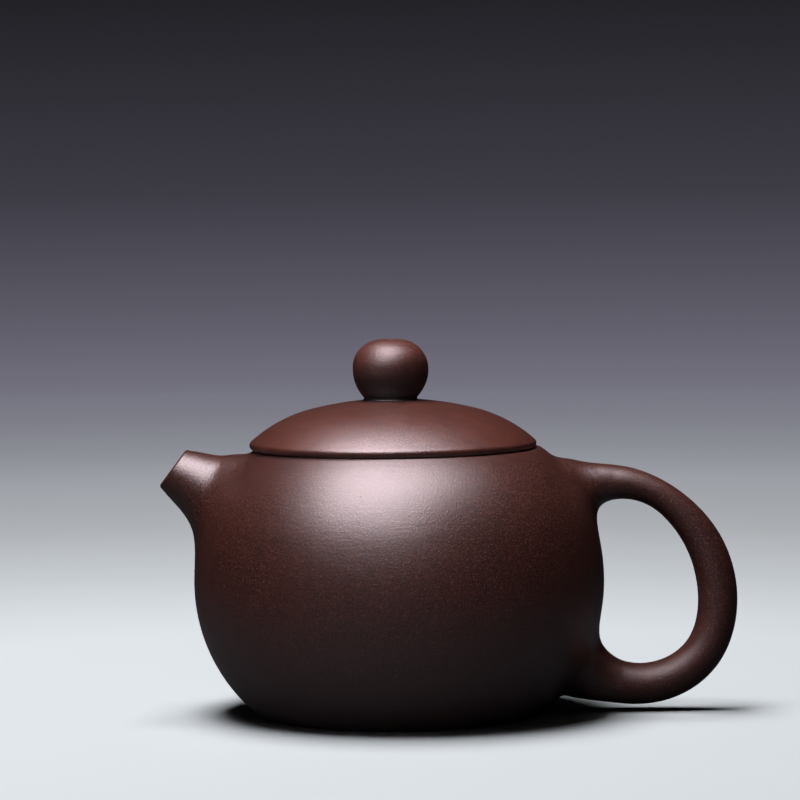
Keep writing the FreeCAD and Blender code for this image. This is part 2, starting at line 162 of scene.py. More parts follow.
def belly_field(points):
    across, up = np.hypot(points[:, 0], points[:, 1]), points[:, 2]
    lower = np.hypot(across - LOWER_CENTRE[0], up - LOWER_CENTRE[1]) - LOWER_ROUND
    upper = np.hypot(across - UPPER_CENTRE[0], up - UPPER_CENTRE[1]) - UPPER_ROUND
    shoulder = np.hypot(across - SHOULDER_CENTRE[0], up - SHOULDER_CENTRE[1]) - SHOULDER_ROUND
    lift = wall_lift(points)
    return np.where(up < BELLY_HEIGHT, lower, np.where(lift < UPPER_TURN, upper, shoulder))


def natural_spline(stations, count):
    """Evenly stepped samples of the smooth curve through the stations."""
    knots = np.array(stations, float)
    chord = np.r_[0, np.cumsum(np.hypot(*np.diff(knots[:, :2], axis=0).T))]
    gap = np.diff(chord)
    size = len(knots)
    matrix, right = np.eye(size), np.zeros((size, knots.shape[1]))
    for i in range(1, size - 1):
        matrix[i, i - 1:i + 2] = gap[i - 1], 2 * (gap[i - 1] + gap[i]), gap[i]
        right[i] = 6 * ((knots[i + 1] - knots[i]) / gap[i] - (knots[i] - knots[i - 1]) / gap[i - 1])
    bend = np.linalg.solve(matrix, right)
    at = np.linspace(0, chord[-1], count)
    span = np.clip(np.searchsorted(chord, at, side="right") - 1, 0, size - 2)
    width = gap[span][:, None]
    before = (chord[span + 1] - at)[:, None]
    after = (at - chord[span])[:, None]
    return (
        bend[span] * before ** 3 / (6 * width) + bend[span + 1] * after ** 3 / (6 * width)
        + (knots[span] / width - bend[span] * width / 6) * before
        + (knots[span + 1] / width - bend[span + 1] * width / 6) * after
    )


POINTS_AT_ONCE = 6000


class Tube:
    """A round-sectioned limb along a smooth path in the plane Y = 0, breadth times as wide as thick."""

    def __init__(self, stations, breadth, count):
        samples = natural_spline(stations, count)
        self.middle = np.stack([samples[:, 0], np.zeros(count), samples[:, 1]], axis=1)
        self.radius = samples[:, 2]
        self.breadth = breadth
        tangent = np.gradient(self.middle, axis=0)
        self.tangent = tangent / np.linalg.norm(tangent, axis=1)[:, None]

    def field(self, points):
        step = np.diff(self.middle, axis=0)
        swell = np.diff(self.radius)
        length = (step * step).sum(axis=1)
        result = []
        for some in np.array_split(points, len(points) // POINTS_AT_ONCE + 1):
            x, z = some[:, :1] - self.middle[:-1, 0], some[:, 2:] - self.middle[:-1, 2]
            along = np.clip((x * step[:, 0] + z * step[:, 2]) / length, 0, 1)
            x, z = x - along * step[:, 0], z - along * step[:, 2]
            gap = np.sqrt(x * x + z * z + (some[:, 1:2] / self.breadth) ** 2)
            result.append((gap - self.radius[:-1] - along * swell).min(axis=1))
        return np.concatenate(result)

    def side(self, index):
        """The in-plane direction across the path there."""
        return np.array([-self.tangent[index][2], 0.0, self.tangent[index][0]])


HANDLE = Tube(HANDLE_STATIONS, HANDLE_BREADTH, HANDLE_SAMPLES)
SPOUT = Tube(SPOUT_STATIONS, 1.0, SPOUT_SAMPLES)


def smooth_union(first, second, reach):
    """The union of two fields, rounded where both are within reach of each other."""
    near = np.clip(reach - np.abs(first - second), 0, None) / reach
    return np.minimum(first, second) - near ** 3 * reach / 6


def eased(value, first, last):
    """0 up to the first mark and 1 from the last, smooth between them."""
    share = np.clip((value - first) / (last - first), 0, 1)
    return share * share * (3 - 2 * share)


RIM_FADE = (LID_RADIUS - 1.5, LID_RADIUS + 7.5)
TABLE_FADE = (0.5, 9.0)
LEAST_BLEND = 0.02
LIMB_SIDE = 18.0


def limb_blend(points, reach):
    """The blend fades out towards the mouth and the foot, so that lid and table meet true clay."""
    off_rim = eased(np.hypot(points[:, 0], points[:, 1]), *RIM_FADE)
    off_table = eased(points[:, 2], *TABLE_FADE)
    return reach * (LEAST_BLEND + (1 - LEAST_BLEND) * off_rim * off_table)


def pot_field(points):
    """The pot's outside: belly, spout and handle run together as luted clay does."""
    result = belly_field(points)
    for tube, reach, side in ((SPOUT, SPOUT_BLEND, -1), (HANDLE, HANDLE_BLEND, 1)):
        near = points[:, 0] * side > LIMB_SIDE
        if near.any():
            close = points[near]
            result[near] = smooth_union(result[near], tube.field(close), limb_blend(close, reach))
    return result


def inner_field(points):
    return belly_field(points) + WALL


def slope(field, points, step=0.02):
    """The unit outward normals of a field, by differences over that step."""
    columns = []
    for axis in range(3):
        offset = np.zeros(3)
        offset[axis] = step
        columns.append(field(points + offset) - field(points - offset))
    normals = np.stack(columns, axis=1)
    return normals / np.linalg.norm(normals, axis=1)[:, None]


HALVINGS = 34
ROUGH_HALVINGS = 22
LOOP_HALVINGS = 26


def hit(field, origins, directions, reach, rounds=HALVINGS):
    """Where rays that start inside the field leave it."""
    near = np.zeros(len(directions))
    far = np.zeros(len(directions)) + reach
    for _ in range(rounds):
        middle = (near + far) / 2
        outside = field(origins + middle[:, None] * directions) > 0
        far = np.where(outside, middle, far)
        near = np.where(outside, near, middle)
    return origins + ((near + far) / 2)[:, None] * directions


# Meshes --------------------------------------------------------------------------------------

CREASE = math.radians(38.0)
ON_SKIN = 0.004


class Shape:
    """Vertices and faces of one piece, with skin normals kept for the smooth outer clay."""

    def __init__(self):
        self.points, self.faces, self.hidden = [], [], []
        self.count = 0

    def add(self, points):
        first = self.count
        self.points.append(np.asarray(points, float))
        self.count += len(points)
        return np.arange(first, self.count)

    def face(self, *corners, hidden=False):
        self.faces.append(tuple(int(c) for c in corners))
        self.hidden.append(hidden)

    def bridge(self, first, second, hidden=False):
        """Quads between two closed rings of the same length."""
        size = len(first)
        for i in range(size):
            j = (i + 1) % size
            self.face(first[i], first[j], second[j], second[i], hidden=hidden)

    def cap(self, ring, middle):
        """A fan of hidden triangles from a ring to a place inside it."""
        centre = self.add([middle])[0]
        size = len(ring)
        for i in range(size):
            self.face(ring[i], ring[(i + 1) % size], centre, hidden=True)

    def mesh(self, name):
        """The closed mesh, faces outward, smooth but for its creases, without unused points."""
        points = np.concatenate(self.points)
        mesh = bpy.data.meshes.new(name)
        mesh.from_pydata((points * MM).tolist(), [], self.faces)
        work = bmesh.new()
        work.from_mesh(mesh)
        hidden = work.faces.layers.int.new("hidden")
        work.faces.ensure_lookup_table()
        for face, inside in zip(work.faces, self.hidden):
            face[hidden] = int(inside)
        bmesh.ops.recalc_face_normals(work, faces=work.faces)
        for edge in work.edges:
            edge.smooth = len(edge.link_faces) == 2 and edge.calc_face_angle() < CREASE
        for face in work.faces:
            face.smooth = True
        loose = [v for v in work.verts if not v.link_faces]
        bmesh.ops.delete(work, geom=loose, context="VERTS")
        work.to_mesh(mesh)
        work.free()
        return mesh

    def build(self, name, body, stands_for, material, skin=None):
        """The finished piece; skin says which points may lie on the blended outer clay."""
        mesh = self.mesh(name)
        if skin is not None:
            self.set_skin_normals(mesh, skin)
        mesh.materials.append(material)
        piece = bpy.data.objects.new(name, mesh)
        bpy.context.scene.collection.objects.link(piece)
        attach(piece, body)
        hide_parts(*stands_for)
        return piece

    def set_skin_normals(self, mesh, skin):
        """Give the corners on the outer clay the slope of its field, so that pieces meet unseen."""
        points = np.zeros(len(mesh.vertices) * 3)
        mesh.vertices.foreach_get("co", points)
        points = points.reshape(-1, 3) / MM
        on_skin = np.zeros(len(points), bool)
        tried = np.flatnonzero(skin(points))
        on_skin[tried] = np.abs(pot_field(points[tried])) < ON_SKIN
        normals = np.zeros((len(points), 3))
        normals[on_skin] = slope(pot_field, points[on_skin])
        corners = np.zeros(len(mesh.loops) * 3)
        mesh.corner_normals.foreach_get("vector", corners)
        corners = corners.reshape(-1, 3)
        vertex = np.zeros(len(mesh.loops), np.int32)
        mesh.loops.foreach_get("vertex_index", vertex)
        hidden = np.zeros(len(mesh.polygons), np.int32)
        mesh.attributes["hidden"].data.foreach_get("value", hidden)
        totals = np.zeros(len(mesh.polygons), np.int32)
        mesh.polygons.foreach_get("loop_total", totals)
        free = on_skin[vertex] & (np.repeat(hidden, totals) == 0)
        corners[free] = normals[vertex[free]]
        mesh.normals_split_custom_set(corners.tolist())


def arc_profile(centre, radius, first, last, step):
    """Points along an arc of a section, angles in degrees, both ends included."""
    count = max(2, math.ceil(abs(math.radians(last - first)) * radius / step) + 1)
    return [
        (centre[0] + radius * math.cos(a), centre[1] + radius * math.sin(a))
        for a in np.radians(np.linspace(first, last, count))
    ]


def line_profile(first, last, step):
    count = max(2, math.ceil(math.dist(first, last) / step) + 1)
    return [tuple(p) for p in np.linspace(first, last, count)]


def joined(*runs):
    """One list of section points, each shared end once."""
    result = []
    for run in runs:
        for p in run:
            if not result or math.dist(result[-1], p) > 1e-6:
                result.append(p)
    if math.dist(result[0], result[-1]) < 1e-6:
        result.pop()
    return result


def turned_ring(across, up, segments, offset, wobble):
    """One ring of a turned piece, or one pole for a point on the axis."""
    if across < 1e-6:
        return [(offset[0], offset[1], up)]
    angles = np.linspace(0, 2 * math.pi, segments, endpoint=False)
    lump = np.sin(2 * angles + 0.35 * up) + 0.6 * np.sin(3 * angles - 0.5 * up + 1.0)
    out = across * (1 + wobble * eased(across, VENT_RADIUS, KNOB_RADIUS) * lump)
    x, y = out * np.cos(angles) + offset[0], out * np.sin(angles) + offset[1]
    return np.stack([x, y, np.full(segments, up)], axis=1)


def turned(name, body, stands_for, profile, material, segments=160, offset=(0.0, 0.0), wobble=0.0):
    """A closed section turned about the pot's axis, with that share of hand-made unevenness."""
    shape = Shape()
    rings = [shape.add(turned_ring(*p, segments, offset, wobble)) for p in profile]
    for first, second in zip(rings, rings[1:] + rings[:1]):
        if len(first) == 1 and len(second) == 1:
            continue
        if len(first) == 1 or len(second) == 1:
            pole, ring = (first[0], second) if len(first) == 1 else (second[0], first)
            for i in range(segments):
                shape.face(ring[i], ring[(i + 1) % segments], pole)
            continue
        shape.bridge(first, second)
    return shape.build(name, body, stands_for, material)


# Limbs: where they grow out of the belly ------------------------------------------------------

LOOP_LEVEL = 0.42
LOOP_LIFTS = (-40.0, 50.0)
LOOP_REACH = 20.0


def ring_directions(side, count):
    angles = np.linspace(0, 2 * math.pi, count, endpoint=False)
    return np.cos(angles)[:, None] * side + np.sin(angles)[:, None] * np.array([0.0, 1.0, 0.0])


def root_of(tube, sign, where):
    """Index, place and outward direction where a limb's middle line crosses the belly's outside."""
    outside = belly_field(tube.middle) > 0
    crossings = np.flatnonzero(outside[1:] != outside[:-1])
    index = crossings[where]
    return index, tube.middle[index], tube.tangent[index] * sign


def root_loop(tube, place, out, side, blend, count):
    """The seam ring on the belly: where the blended skin is a set way from the limb."""
    spread = ring_directions(side, count)
    shallow, steep = (np.full(count, math.radians(lift)) for lift in LOOP_LIFTS)
    for _ in range(LOOP_HALVINGS):
        middle = (shallow + steep) / 2
        rays = np.sin(middle)[:, None] * out + np.cos(middle)[:, None] * spread
        met = hit(pot_field, place, rays, LOOP_REACH, ROUGH_HALVINGS)
        past = tube.field(met) > LOOP_LEVEL * limb_blend(met, blend)
        shallow, steep = np.where(past, middle, shallow), np.where(past, steep, middle)
    return hit(pot_field, place, rays, LOOP_REACH)


def flare(place, first, last, count):
    """Rings of skin from one ring to another, seen from a place inside the root."""
    start, end = first - place, last - place
    start_reach, end_reach = np.linalg.norm(start, axis=1), np.linalg.norm(end, axis=1)
    start, end = start / start_reach[:, None], end / end_reach[:, None]
    reach = 1.3 * np.maximum(start_reach, end_reach)
    angle = np.arccos(np.clip((start * end).sum(axis=1), -1, 1))[:, None]
    rings = []
    for step in np.linspace(0, 1, count + 2)[1:-1]:
        rays = (np.sin((1 - step) * angle) * start + np.sin(step * angle) * end) / np.sin(angle)
        rings.append(hit(pot_field, place, rays, reach))
    return rings


HANDLE_SIDES = 60
SPOUT_SIDES = 84

HANDLE_ROOTS = []
for sign, where in ((1, 0), (-1, -1)):
    index, place, out = root_of(HANDLE, sign, where)
    loop = root_loop(HANDLE, place, out, HANDLE.side(index), HANDLE_BLEND, HANDLE_SIDES)
    HANDLE_ROOTS.append((index, place, out, loop))

index, SPOUT_PLACE, out = root_of(SPOUT, 1, 0)
SPOUT_LOOP = root_loop(SPOUT, SPOUT_PLACE, out, SPOUT.side(index), SPOUT_BLEND, SPOUT_SIDES)

MOUTH_OUT = np.array([-math.cos(SPOUT_MOUTH_TILT), 0.0, math.sin(SPOUT_MOUTH_TILT)])
MOUTH_SIDE = np.array([-MOUTH_OUT[2], 0.0, MOUTH_OUT[0]])


def bore_ring(share, spread_angles):
    """A ring of the bore, share 0 at the mouth and 1 deep inside, through its three stations."""
    share = np.asarray(share, float)
    mouth, middle, root = (np.array(s) for s in BORE_STATIONS)
    bend = (2 * (share - 0.5) * (share - 1))[:, None]
    values = bend * mouth + (4 * share * (1 - share))[:, None] * middle
    values = values + (2 * share * (share - 0.5))[:, None] * root
    tilt = np.radians(values[:, 2])
    side = np.stack([-np.sin(tilt), np.zeros(len(tilt)), -np.cos(tilt)], axis=1)
    across = np.cos(spread_angles)[:, None] * side
    across = across + np.sin(spread_angles)[:, None] * np.array([0.0, 1.0, 0.0])
    middle_line = np.stack([values[:, 0], np.zeros(len(tilt)), values[:, 1]], axis=1)
    return middle_line + values[:, 3][:, None] * across


SPREAD = np.linspace(0, 2 * math.pi, SPOUT_SIDES, endpoint=False)


def bore_depths():
    """How deep along the bore each of its lines meets the belly's inner face."""
    near, far = np.full(SPOUT_SIDES, 0.25), np.full(SPOUT_SIDES, 1.0)
    for _ in range(HALVINGS):
        middle = (near + far) / 2
        in_wall = inner_field(bore_ring(middle, SPREAD)) > 0
        near, far = np.where(in_wall, middle, near), np.where(in_wall, far, middle)
    return (near + far) / 2


BORE_DEPTHS = bore_depths()
BORE_LOOP = bore_ring(BORE_DEPTHS, SPREAD)


# Belly wall ----------------------------------------------------------------------------------

COLUMNS = 240
ROW_STEP = 1.25
FLAT = np.array([40.0, 38.0])
CLOSE_BY = 0.3
CLEAR_OF_LOOP = 0.45
REGION_MARGIN = 4
RIM_STEP = 0.12
FOOT_STEP = 0.5
BLEND_REACH = 12.0


def wall_lifts(first, last, inset):
    """Lifts from one to the other in even steps along the wall's arcs."""
    joints = {m for m in (0.0, UPPER_TURN) if min(first, last) < m < max(first, last)}
    marks = sorted({first, last} | joints)
    lifts = []
    for a, b in zip(marks, marks[1:]):
        radius = wall_arc((a + b) / 2)[1] - inset
        count = max(2, math.ceil((b - a) * radius / ROW_STEP) + 1)
        lifts.extend(np.linspace(a, b, count)[(1 if lifts else 0):])
    return lifts if first < last else lifts[::-1]


def inside_loop(points, loop):
    """Which 2-D points lie inside a closed polygon."""
    inside = np.zeros(len(points), bool)
    for (x0, y0), (x1, y1) in zip(loop, np.roll(loop, -1, axis=0)):
        crosses = (y0 > points[:, 1]) != (y1 > points[:, 1])
        with np.errstate(divide="ignore", invalid="ignore"):
            at = (x1 - x0) * (points[:, 1] - y0) / (y1 - y0) + x0
        inside ^= crosses & (points[:, 0] < at)
    return inside


def flatten(points):
    """Angle round the pot and lift, in even units, the seam of the angle at -Y."""
    around = np.mod(np.arctan2(points[:, 1], points[:, 0]) + math.pi / 2, 2 * math.pi)
    return np.stack([around, wall_lift(points)], axis=1) * FLAT


def cells_along(loop, columns, rows):
    """The grid cells that a loop passes through, or passes close by."""
    ends = np.roll(loop, -1, axis=0)
    dense = np.concatenate([loop + (ends - loop) * t for t in (0.0, 0.25, 0.5, 0.75)])
    upward = rows if rows[0] < rows[-1] else rows[::-1]
    found = set()
    for shift in ((1, 1), (1, -1), (-1, 1), (-1, -1)):
        near = dense + CLOSE_BY * np.array(shift)
        column = np.searchsorted(columns, near[:, 0], side="right") - 1
        row = np.searchsorted(upward, near[:, 1], side="right") - 1
        if rows[0] > rows[-1]:
            row = len(rows) - 2 - row
        row = np.clip(row, 0, len(rows) - 2)
        found |= set(zip(row.tolist(), column.tolist()))
    return found


def cut_for(loop, flat_grid, around, lifts):
    """Which cells a hole's loop opens, and which corners lie inside the hole or close to its loop."""
    middle = loop.mean(axis=0)
    outward = (loop - middle) / np.linalg.norm(loop - middle, axis=1)[:, None]
    grown = loop + CLEAR_OF_LOOP * outward
    inside = inside_loop(flat_grid.reshape(-1, 2), grown).reshape(len(lifts), COLUMNS)
    right = np.roll(inside, -1, axis=1)
    cut = inside[:-1] | inside[1:] | right[:-1] | right[1:]
    for row, column in cells_along(loop, around * FLAT[0], np.array(lifts) * FLAT[1]):
        cut[row, column % COLUMNS] = True
    return cut, inside


def grid_skin(shape, rows, lifts, holes):
    """Quads over rows of the wall, with each hole's ring stitched in by triangles."""
    around = np.linspace(0, 2 * math.pi, COLUMNS, endpoint=False)
    flat_grid = np.stack(np.meshgrid(around, lifts), axis=2) * FLAT
    cut = np.zeros((len(rows) - 1, COLUMNS), bool)
    inside_any = np.zeros((len(rows), COLUMNS), bool)
    for loop_points, _ in holes:
        opened, inside = cut_for(flatten(loop_points), flat_grid, around, lifts)
        cut |= opened
        inside_any |= inside
    for i, j in zip(*np.nonzero(~cut)):
        k = (j + 1) % COLUMNS
        shape.face(rows[i][j], rows[i][k], rows[i + 1][k], rows[i + 1][j])
    for loop_points, ring in holes:
        stitch(shape, rows, flat_grid, cut, inside_any, flatten(loop_points), ring)


class Patch:
    """Grid corners gathered, once each, for one stitched region: flat places and their points."""

    def __init__(self, rows, flat_grid):
        self.rows, self.flat_grid = rows, flat_grid
        self.places, self.ids, self.lookup = [], [], {}

    def corner(self, i, j):
        j %= COLUMNS
        if (i, j) not in self.lookup:
            self.lookup[i, j] = len(self.places)
            self.places.append(Vector(self.flat_grid[i, j]))
            self.ids.append(self.rows[i][j])
        return self.lookup[i, j]


def stitch(shape, rows, flat_grid, cut, inside_any, loop, ring):
    """Triangles over the opened cells round one loop, between its ring and the cells' outline."""
    middle = loop.mean(axis=0)
    reach = np.abs(loop - middle).max(axis=0) + REGION_MARGIN
    opened = zip(*np.nonzero(cut))
    cells = [(i, j) for i, j in opened if (np.abs(flat_grid[i, j] - middle) < reach).all()]
    chosen = set(cells)
    patch = Patch(rows, flat_grid)
    edges = []
    for i, j in cells:
        corners = ((i, j), (i, j + 1), (i + 1, j), (i + 1, j + 1))
        for a, b, beside in (
            (0, 1, (i - 1, j)), (2, 3, (i + 1, j)), (0, 2, (i, j - 1)), (1, 3, (i, j + 1)),
        ):
            if beside not in chosen:
                edges.append((patch.corner(*corners[a]), patch.corner(*corners[b])))
        for row, column in corners:
            if not inside_any[row, column % COLUMNS]:
                patch.corner(row, column)
    first = len(patch.places)
    places = patch.places + [Vector(p) for p in loop]
    ids = patch.ids + list(ring)
    edges.extend((first + i, first + (i + 1) % len(loop)) for i in range(len(loop)))
    out, _, faces, original, _, _ = delaunay_2d_cdt(places, edges, [], 1, 1e-6)
    flat_out = np.array([tuple(p) for p in out])
    centres = np.array([flat_out[list(face)].mean(axis=0) for face in faces])
    for face, in_hole in zip(faces, inside_loop(centres, loop)):
        if not in_hole:
            shape.face(*(ids[original[v][0]] for v in face))


ROW_ANGLES = np.linspace(0, 2 * math.pi, COLUMNS, endpoint=False) - math.pi / 2


def wall_row(across, up):
    """A level ring of the wall's grid."""
    x, y = across * np.cos(ROW_ANGLES), across * np.sin(ROW_ANGLES)
    return np.stack([x, y, np.full(COLUMNS, up)], axis=1)


def blended_rows(lifts):
    """Rows of the outer wall, moved out on to the blends where a limb grows from it."""
    start = np.concatenate([wall_row(*wall_point(lift)) for lift in lifts])
    normal = np.concatenate([wall_row(math.cos(lift), math.sin(lift)) for lift in lifts])
    moved = np.abs(pot_field(start)) > 1e-5
    start[moved] = hit(pot_field, start[moved] - 0.5 * normal[moved], normal[moved], BLEND_REACH)
    return start.reshape(-1, COLUMNS, 3)


def limb_holes(shape):
    """Rings of the limbs' roots: the handle's are capped, and the spout's opens into its bore."""
    holes = []
    for _, place, out, loop in HANDLE_ROOTS:
        ring = shape.add(loop)
        shape.cap(ring, place - 1.0 * out)
        holes.append((loop, ring))
    spout_ring = shape.add(SPOUT_LOOP)
    inner_ring = shape.add(BORE_LOOP)
    shape.bridge(spout_ring, inner_ring, hidden=True)
    return holes + [(SPOUT_LOOP, spout_ring)], [(BORE_LOOP, inner_ring)]


def belly_wall(material):
    shape = Shape()
    rim_lift, rim = edge_round(SHOULDER_CENTRE, SHOULDER_ROUND, MOUTH_HEIGHT, RIM_EDGE, 1, RIM_STEP)
    foot_lift, foot = edge_round(LOWER_CENTRE, LOWER_ROUND, 0.0, FOOT_EDGE, -1, FOOT_STEP)
    skin_lifts = wall_lifts(rim_lift, foot_lift, 0.0)
    inner_top = math.acos((SEAT_OUTER - SHOULDER_CENTRE[0]) / (SHOULDER_ROUND - WALL))
    inner_foot = -math.asin(BELLY_HEIGHT / (LOWER_ROUND - WALL))
    inner_lifts = wall_lifts(inner_foot, inner_top, WALL)

    skin = [shape.add(row) for row in blended_rows(skin_lifts)]
    inner = [shape.add(wall_row(*wall_point(lift, WALL))) for lift in inner_lifts]
    rim_rows = [shape.add(wall_row(*p)) for p in rim[1:]]
    foot_rows = [shape.add(wall_row(*p)) for p in foot[1:]]
    neck = [shape.add(wall_row(SEAT_OUTER, MOUTH_HEIGHT))]

    for first, second in zip([skin[0]] + rim_rows, rim_rows + neck):
        shape.bridge(first, second)
    for first, second in zip([skin[-1]] + foot_rows, foot_rows + [inner[0]]):
        shape.bridge(first, second)
    shape.bridge(inner[-1], neck[0])

    skin_holes, inner_holes = limb_holes(shape)
    grid_skin(shape, skin, skin_lifts, skin_holes)
    grid_skin(shape, inner, inner_lifts, inner_holes)
    return shape.build(
        "belly", "pot", ["belly_wall"], material, skin=lambda p: wall_lift(p) < rim_lift + 1e-6,
    )


def edge_round(centre, radius, level, edge, side, step):
    """The small round between an arc of the wall and a level face: the arc's lift there, and points."""
    up = level - side * edge
    lift = math.asin((up - centre[1]) / (radius - edge))
    middle = (centre[0] + (radius - edge) * math.cos(lift), up)
    return lift, arc_profile(middle, edge, math.degrees(lift), side * 90, step)


# Spout and handle ----------------------------------------------------------------------------

BORE_EDGE = 0.55
SPOUT_FLARE_RINGS = 22
BORE_RINGS = 12
HANDLE_FLARE_RINGS = 14
HANDLE_CLEAR = 9.0
SKIN_SIDE = 20.0
LIP_REACH = 9.0
HANDLE_REACH = 14.0


def lip_rounds(outer_radius):
    """(radius, depth) over the rim of the spout: its outer round, then the bore's finer edge."""
    bore_radius = BORE_STATIONS[0][3]
    lips = []
    for turn in np.radians(np.linspace(0, 90, 7)[1:]):
        lips.append((outer_radius - SPOUT_LIP * (1 - math.cos(turn)), SPOUT_LIP * (1 - math.sin(turn))))
    for turn in np.radians(np.linspace(0, 90, 6)):
        radius = np.full(SPOUT_SIDES, bore_radius + BORE_EDGE * (1 - math.sin(turn)))
        lips.append((radius, BORE_EDGE * (1 - math.cos(turn))))
    return lips


def spout(material):
    shape = Shape()
    spread = ring_directions(MOUTH_SIDE, SPOUT_SIDES)
    lip_middle = SPOUT_MOUTH - SPOUT_LIP * MOUTH_OUT
    lip_outer = hit(pot_field, lip_middle, spread, LIP_REACH)
    rings = [shape.add(SPOUT_LOOP)]
    rings += [shape.add(r) for r in flare(SPOUT_PLACE, SPOUT_LOOP, lip_outer, SPOUT_FLARE_RINGS)]
    rings.append(shape.add(lip_outer))
    for radius, depth in lip_rounds(np.linalg.norm(lip_outer - lip_middle, axis=1)):
        rings.append(shape.add(SPOUT_MOUTH - depth * MOUTH_OUT + radius[:, None] * spread))
    lip_share = BORE_EDGE / np.linalg.norm(SPOUT_MOUTH - BORE_LOOP.mean(axis=0))
    for step in np.linspace(0, 1, BORE_RINGS + 1)[1:]:
        share = lip_share + (BORE_DEPTHS - lip_share) * step
        rings.append(shape.add(bore_ring(share, SPREAD)))
    for first, second in zip(rings, rings[1:]):
        shape.bridge(first, second)
    shape.bridge(rings[-1], rings[0], hidden=True)
    return shape.build("spout_skin", "pot", ["spout"], material, skin=lambda p: p[:, 0] < -SKIN_SIDE)


def handle_ring(index):
    """The blended skin's ring about one sample of the handle's middle line."""
    spread = ring_directions(HANDLE.side(index), HANDLE_SIDES)
    return hit(pot_field, HANDLE.middle[index], spread, HANDLE_REACH)


def handle(material):
    shape = Shape()
    (top_index, top_place, top_out, top_loop), (low_index, low_place, low_out, low_loop) = HANDLE_ROOTS
    step_length = np.linalg.norm(HANDLE.middle[1] - HANDLE.middle[0])
    clear = round(HANDLE_CLEAR / step_length)
    along = [handle_ring(i) for i in range(top_index + clear, low_index - clear + 1)]
    top = flare(top_place, top_loop, along[0], HANDLE_FLARE_RINGS)
    foot = flare(low_place, low_loop, along[-1], HANDLE_FLARE_RINGS)
    rings = [shape.add(ring) for ring in (top_loop, *top, *along, *foot[::-1], low_loop)]
    for first, second in zip(rings, rings[1:]):
        shape.bridge(first, second)
    shape.cap(rings[0], top_place - 1.0 * top_out)
    shape.cap(rings[-1], low_place - 1.0 * low_out)
    return shape.build("handle_skin", "pot", ["handle"], material, skin=lambda p: p[:, 0] > SKIN_SIDE)


# Turned pieces -------------------------------------------------------------------------------

LID_EDGE = 1.05
LID_ROUND = 31.0
CROWN_ROUND = 75.0
CROWN_RADIUS = 18.0
HOLLOW_TOP = 66.0
HOLLOW_ROUND = 66.0
KNOB_FLAT = 2.0
KNOB_WAIST = 0.6
KNOB_LOWER_ROUND = 8.6
NECK_ROUND = 0.5
NECK_HEIGHT = 69.35
LID_SHIFT = (-1.1, 0.0)
KNOB_SHIFT = (-1.5, 0.0)
KNOB_WOBBLE = 0.012
VENT_EDGE = 0.35
AXIS_GAP = 1.5


def lid_section():
    """The lid from its hollow, round the edge and over the crown, to the vent."""
    crown_turn = math.acos(CROWN_RADIUS / CROWN_ROUND)
    outer_across = CROWN_RADIUS - LID_ROUND * math.cos(crown_turn)
    edge_turn = math.acos((LID_RADIUS - LID_EDGE - outer_across) / (LID_ROUND - LID_EDGE))
    edge_centre = (LID_RADIUS - LID_EDGE, MOUTH_HEIGHT + LID_EDGE)
    outer_up = edge_centre[1] - (LID_ROUND - LID_EDGE) * math.sin(edge_turn)
    joint_up = outer_up + LID_ROUND * math.sin(crown_turn)
    crown_centre = (0.0, joint_up - CROWN_ROUND * math.sin(crown_turn))
    vent_turn = math.degrees(math.acos(VENT_RADIUS / CROWN_ROUND))
    hollow_centre = (0.0, HOLLOW_TOP - HOLLOW_ROUND)
    hollow_turn = math.degrees(math.acos(FLANGE_INNER / HOLLOW_ROUND))
    hollow_vent = math.degrees(math.acos(VENT_RADIUS / HOLLOW_ROUND))
    hollow = arc_profile(hollow_centre, HOLLOW_ROUND, hollow_vent, hollow_turn, 1.5)
    edge_turn, crown_turn = math.degrees(edge_turn), math.degrees(crown_turn)
    shoulder = arc_profile((outer_across, outer_up), LID_ROUND, edge_turn, crown_turn, 0.8)
    crown = arc_profile(crown_centre, CROWN_ROUND, crown_turn, vent_turn, 1.2)
    return joined(
        hollow,
        line_profile(hollow[-1], (FLANGE_INNER, MOUTH_HEIGHT), 1.0),
        line_profile((FLANGE_INNER, MOUTH_HEIGHT), (LID_RADIUS - LID_EDGE, MOUTH_HEIGHT), 1.2),
        arc_profile(edge_centre, LID_EDGE, -90, edge_turn, 0.15),
        shoulder,
        crown,
        line_profile(crown[-1], hollow[0], 0.6),
    )


def knob_section():
    """The knob from its root, out round the neck and over the flattened ball, to the vent."""
    ball = KNOB_RADIUS - KNOB_FLAT
    upper = (KNOB_FLAT, KNOB_TOP - ball)
    lower = (KNOB_RADIUS - KNOB_LOWER_ROUND, upper[1] - KNOB_WAIST)
    reach = KNOB_LOWER_ROUND + NECK_ROUND
    ball_turn = -math.asin((lower[1] - NECK_HEIGHT) / reach)
    neck = (lower[0] + reach * math.cos(ball_turn), lower[1] + reach * math.sin(ball_turn))
    ball_turn = math.degrees(ball_turn)
    vent_top = KNOB_TOP - VENT_EDGE
    root = low("knob")[2]
    return joined(
        line_profile((VENT_RADIUS, root), (neck[0], root), 0.8),
        arc_profile(neck, NECK_ROUND, 270, 180 + ball_turn, 0.1),
        arc_profile(lower, KNOB_LOWER_ROUND, ball_turn, 0, 0.35),
        arc_profile(upper, ball, 0, 90, 0.35),
        arc_profile((VENT_RADIUS + VENT_EDGE, vent_top), VENT_EDGE, 90, 180, 0.08),
        line_profile((VENT_RADIUS, vent_top), (VENT_RADIUS, root), 0.8),
    )


